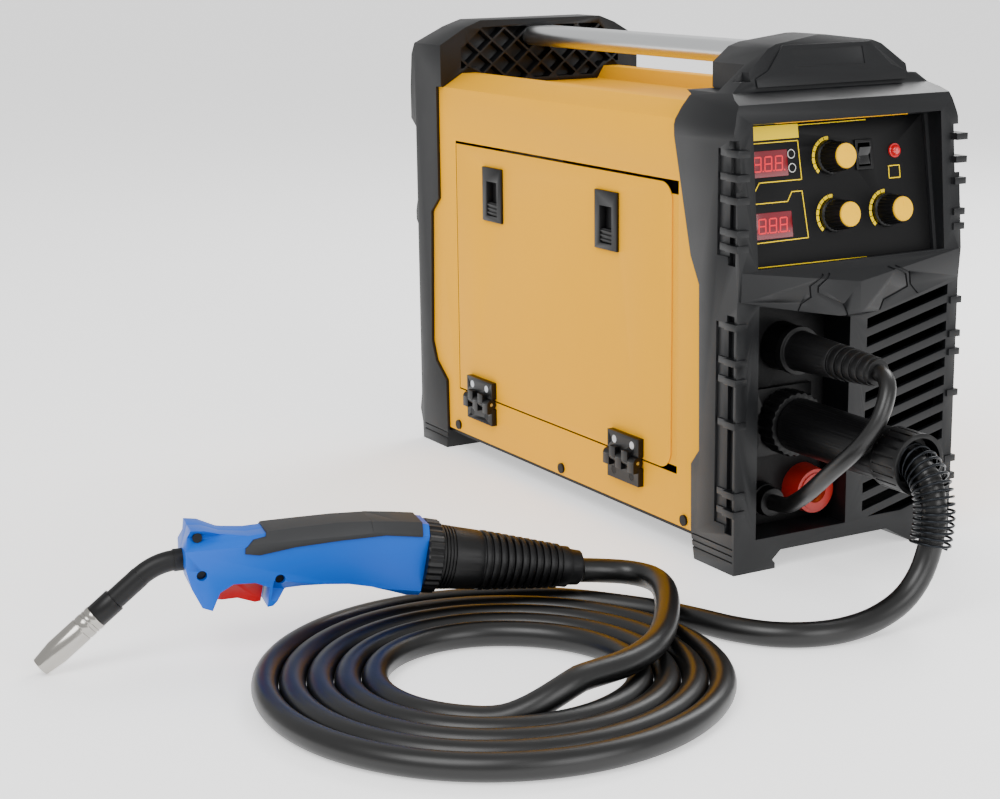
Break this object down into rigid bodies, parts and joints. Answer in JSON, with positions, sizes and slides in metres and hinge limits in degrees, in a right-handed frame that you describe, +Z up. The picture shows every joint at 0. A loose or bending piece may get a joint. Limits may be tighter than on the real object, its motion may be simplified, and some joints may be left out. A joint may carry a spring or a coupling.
{
  "type": "wire feed welder",
  "caption": "Portable wire-feed welder in a sheet-steel case with moulded ends, hinged side door, handle bar, polarity cable and a pistol torch on a coiled lead.",
  "frame": {"origin": "centre of the floor area covered by the welder and its torch, the lead left out, on the floor under the feet", "axes": "+Z up; +X to the right seen from the front, the torch lies at -X; the control panel faces -Y"},
  "size_m": [0.7058, 0.7585, 0.384],
  "materials": {
    "yellow_paint": "smooth powder coat",
    "black_steel": "fine textured paint",
    "charcoal_plastic": "fine moulded grain",
    "anodised_bar": "brushed, clear anodised",
    "black_plastic": "satin",
    "zinc_steel": "zinc plated",
    "panel_film": "satin printed film",
    "red_window": "clear red filter",
    "gloss_black": "gloss",
    "red_plastic": "gloss",
    "board": "solder resist",
    "brick_plastic": "satin",
    "brass": "turned",
    "black_rubber": "satin",
    "spring_steel": "blackened",
    "blue_plastic": "satin",
    "grey_rubber": "soft matte",
    "nickel": "nickel plated",
    "copper": "machined copper alloy",
    "galvanised": "galvanised sheet",
    "spool_plastic": "natural white",
    "die_cast": "as cast",
    "steel_roller": "ground"
  },
  "bodies": {
    "case": {"base_pan": "black_steel", "cover": "yellow_paint", "front_bezel": "charcoal_plastic", "rear_bezel": "charcoal_plastic", "handle_bar": "anodised_bar", "case_hinge_leaves": "black_plastic", "hinge_pins": "zinc_steel", "case_screws": "zinc_steel", "fascia": "panel_film", "display_windows": "red_window", "switch_frames": "black_plastic", "indicator_lamp": "red_plastic", "control_board": "board", "connector_plate": "black_steel", "black_socket": "black_plastic", "red_socket": "brick_plastic", "socket_brass": "brass", "polarity_plug": "black_rubber", "polarity_cable": "black_rubber", "cable_glands": "black_plastic", "euro_socket": "black_plastic", "euro_plug": "black_plastic", "bend_spring": "spring_steel", "lead_run": "black_rubber", "lead_coil": "black_rubber", "lead_tail": "black_rubber", "torch_handle_left": "blue_plastic", "torch_handle_right": "blue_plastic", "torch_grip_pad": "grey_rubber", "torch_ring": "black_plastic", "torch_boot": "black_rubber", "torch_neck": "black_rubber", "nozzle_insulator": "black_plastic", "gas_nozzle": "nickel", "contact_tip": "copper", "torch_screws": "zinc_steel", "divider_panel": "galvanised", "wire_feeder": "die_cast", "power_board": "board", "fan_frame": "black_plastic", "gas_inlet": "brass"},
    "door": {"door": "yellow_paint", "door_hinge_leaves": "black_plastic", "door_screws": "zinc_steel", "latch_frames": "black_plastic"},
    "rear_latch": {"rear_latch_slider": "black_plastic"},
    "front_latch": {"front_latch_slider": "black_plastic"},
    "wire_speed_dial": {"wire_speed_knob": "black_plastic"},
    "voltage_dial": {"voltage_knob": "black_plastic"},
    "inductance_dial": {"inductance_knob": "black_plastic"},
    "mode_switch": {"mode_rocker": "gloss_black"},
    "mains_switch": {"power_rocker": "red_plastic"},
    "trigger": {"torch_trigger": "red_plastic"},
    "fan": {"fan_rotor": "black_plastic"},
    "spool": {"wire_spool": "spool_plastic"},
    "driven_roll": {"drive_roller": "steel_roller"},
    "arm": {"pressure_arm": "black_plastic"},
    "idle_roll": {"pressure_roller": "steel_roller"},
    "tension": {"tension_knob": "red_plastic"},
    "lead_nut": {"euro_nut": "black_plastic"}
  },
  "joints": [
    {"name": "door_hinge", "type": "hinge", "parent": "case", "child": "door", "pos_m": [0.1434, 0.0075, 0.0574], "axis": [0, -1, 0], "range_deg": [0, 100]},
    {"name": "rear_latch_slide", "type": "slide", "parent": "door", "child": "rear_latch", "axis": [0, 0, 1], "range_m": [0, 0.008]},
    {"name": "front_latch_slide", "type": "slide", "parent": "door", "child": "front_latch", "axis": [0, 0, 1], "range_m": [0, 0.008]},
    {"name": "wire_speed_turn", "type": "hinge", "parent": "case", "child": "wire_speed_dial", "pos_m": [0.241, -0.22411, 0.29706], "axis": [0, 0.9877, -0.1564], "range_deg": [-140, 140]},
    {"name": "voltage_turn", "type": "hinge", "parent": "case", "child": "voltage_dial", "pos_m": [0.241, -0.23068, 0.25558], "axis": [0, 0.9877, -0.1564], "range_deg": [-140, 140]},
    {"name": "inductance_turn", "type": "hinge", "parent": "case", "child": "inductance_dial", "pos_m": [0.29, -0.23068, 0.25558], "axis": [0, 0.9877, -0.1564], "range_deg": [-140, 140]},
    {"name": "mode_rock", "type": "hinge", "parent": "case", "child": "mode_switch", "pos_m": [0.273, -0.22056, 0.2965], "axis": [-1, 0, 0], "range_deg": [0, 18]},
    {"name": "mains_rock", "type": "hinge", "parent": "case", "child": "mains_switch", "pos_m": [0.314, 0.239, 0.262], "axis": [1, 0, 0], "range_deg": [0, 20]},
    {"name": "trigger_pull", "type": "hinge", "parent": "case", "child": "trigger", "pos_m": [-0.2314, -0.19793, 0.05804], "axis": [-0.2164, -0.9763, 0], "range_deg": [0, 6], "stiffness_Nm_per_rad": 1.5, "springref_deg": -5.73},
    {"name": "fan_spin", "type": "hinge", "parent": "case", "child": "fan", "pos_m": [0.24, 0.217, 0.17], "axis": [0, 1, 0], "continuous": true},
    {"name": "spool_spin", "type": "hinge", "parent": "case", "child": "spool", "pos_m": [0.207, 0.095, 0.187], "axis": [1, 0, 0], "continuous": true},
    {"name": "drive_spin", "type": "hinge", "parent": "case", "child": "driven_roll", "pos_m": [0.208, -0.121, 0.0886], "axis": [1, 0, 0], "continuous": true},
    {"name": "arm_lift", "type": "hinge", "parent": "case", "child": "arm", "pos_m": [0.237, -0.079, 0.118], "axis": [-1, 0, 0], "range_deg": [0, 65]},
    {"name": "idle_spin", "type": "hinge", "parent": "arm", "child": "idle_roll", "pos_m": [0.208, -0.121, 0.1154], "axis": [1, 0, 0], "continuous": true},
    {"name": "tension_turn", "type": "hinge", "parent": "arm", "child": "tension", "pos_m": [0.212, -0.154, 0.13], "axis": [0, 0, 1], "range_deg": [-720, 720]},
    {"name": "lead_nut_turn", "type": "hinge", "parent": "case", "child": "lead_nut", "pos_m": [0.208, -0.228, 0.104], "axis": [0, -1, 0], "range_deg": [0, 720]}
  ],
  "couplings": [
    {"joint": "idle_spin", "follows": "drive_spin", "ratio": -1.3636}
  ]
}
